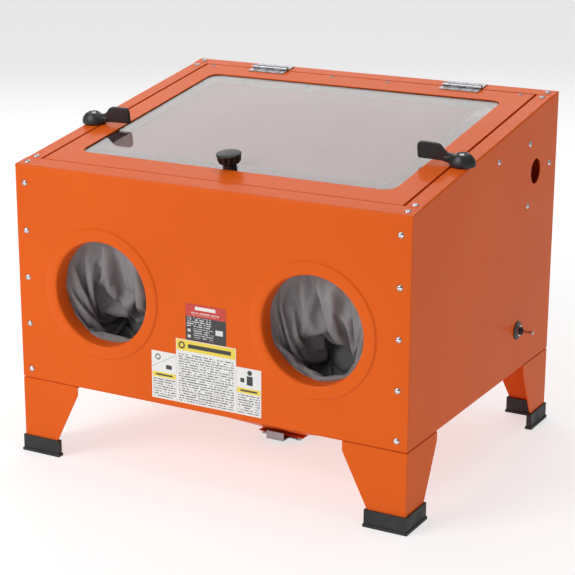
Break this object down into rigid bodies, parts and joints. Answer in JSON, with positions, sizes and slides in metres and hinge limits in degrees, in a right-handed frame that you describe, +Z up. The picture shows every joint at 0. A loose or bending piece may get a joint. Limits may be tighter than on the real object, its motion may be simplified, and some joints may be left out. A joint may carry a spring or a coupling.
{
  "type": "sandblast cabinet",
  "caption": "Benchtop blast cabinet: sloped sheet steel box with gloved arm ports, hinged window lid, latches, lamp, blast gun, hopper and rubber footed legs.",
  "frame": {"origin": "on the bench under the middle of the cabinet", "axes": "+X to the right as the operator faces the front, +Y from the front wall to the back wall, +Z up"},
  "size_m": [0.6415, 0.4876, 0.4923],
  "materials": {
    "orange_paint": "glossy orange powder coat",
    "zinc_steel": "zinc plated steel",
    "chrome_steel": "bright nickel plate",
    "black_plastic": "satin moulded plastic",
    "black_rubber": "moulded rubber",
    "clear_pane": "clear pane",
    "clear_film": "thin protective film",
    "glove_cloth": "coated woven cloth",
    "white_plastic": "moulded plastic",
    "lamp_diffuser": "frosted tube",
    "cast_aluminium": "sand cast and tumbled",
    "ceramic": "unglazed ceramic",
    "hose_rubber": "braided rubber hose",
    "brass": "turned brass",
    "dark_steel": "dark coated steel",
    "printed_label": "printed vinyl"
  },
  "bodies": {
    "cabinet": {"front_panel": "orange_paint", "back_panel": "orange_paint", "left_side_panel": "orange_paint", "right_side_panel": "orange_paint", "lid_seat": "orange_paint", "lid_seal": "black_rubber", "hopper": "orange_paint", "outlet_guides": "zinc_steel", "work_grate": "dark_steel", "grate_supports": "orange_paint", "leg_front_left": "orange_paint", "leg_front_right": "orange_paint", "leg_rear_left": "orange_paint", "leg_rear_right": "orange_paint", "foot_front_left": "black_rubber", "foot_front_right": "black_rubber", "foot_rear_left": "black_rubber", "foot_rear_right": "black_rubber", "leg_bolts": "zinc_steel", "panel_screws": "chrome_steel", "hinge_body_leaves": "zinc_steel", "hinge_pins": "zinc_steel", "latch_screws": "chrome_steel", "glove_left": "glove_cloth", "glove_right": "glove_cloth", "glove_clamps": "zinc_steel", "lamp_tube": "lamp_diffuser", "lamp_end_caps": "white_plastic", "lamp_clips": "zinc_steel", "lamp_cable": "white_plastic", "power_jack": "black_plastic", "switch_body": "black_plastic", "switch_washer": "black_plastic", "switch_nut": "chrome_steel", "exhaust_baffle": "orange_paint", "air_inlet": "brass", "air_inlet_nut": "brass", "air_hose": "hose_rubber", "media_hose": "hose_rubber", "pickup_tube": "dark_steel", "gun_cradles": "zinc_steel", "gun_body": "cast_aluminium", "gun_nozzle": "ceramic", "trigger_pin": "zinc_steel", "rating_plate": "printed_label", "care_labels": "printed_label"},
    "lid": {"lid_frame": "orange_paint", "window_pane": "clear_pane", "window_film": "clear_film", "window_retainers": "zinc_steel", "hinge_lid_leaves": "zinc_steel", "lid_screws": "zinc_steel", "lid_knob": "black_plastic"},
    "latch_left": {"latch_left": "black_plastic"},
    "latch_right": {"latch_right": "black_plastic"},
    "switch_lever": {"switch_lever": "chrome_steel"},
    "gun_trigger": {"gun_trigger": "black_plastic"},
    "drain_gate": {"drain_gate": "zinc_steel"}
  },
  "joints": [
    {"name": "lid_hinge", "type": "hinge", "parent": "cabinet", "child": "lid", "pos_m": [0, 0.2155, 0.48926], "axis": [-1, 0, 0], "range_deg": [0, 100]},
    {"name": "latch_left_turn", "type": "hinge", "parent": "cabinet", "child": "latch_left", "pos_m": [-0.284, -0.06924, 0.43975], "axis": [0, -0.1604, 0.9871], "range_deg": [-90, 90]},
    {"name": "latch_right_turn", "type": "hinge", "parent": "cabinet", "child": "latch_right", "pos_m": [0.284, -0.06924, 0.43975], "axis": [0, -0.1604, 0.9871], "range_deg": [-90, 90]},
    {"name": "switch_toggle", "type": "hinge", "parent": "cabinet", "child": "switch_lever", "pos_m": [0.297, 0.116, 0.1705], "axis": [0, 1, 0], "range_deg": [-12, 12]},
    {"name": "trigger_pull", "type": "hinge", "parent": "cabinet", "child": "gun_trigger", "pos_m": [-0.262, -0.014, 0.232], "axis": [1, 0, 0], "range_deg": [0, 15], "stiffness_Nm_per_rad": 0.6, "springref_deg": -11.46},
    {"name": "drain_gate_slide", "type": "slide", "parent": "cabinet", "child": "drain_gate", "axis": [0, -1, 0], "range_m": [0, 0.05]}
  ]
}
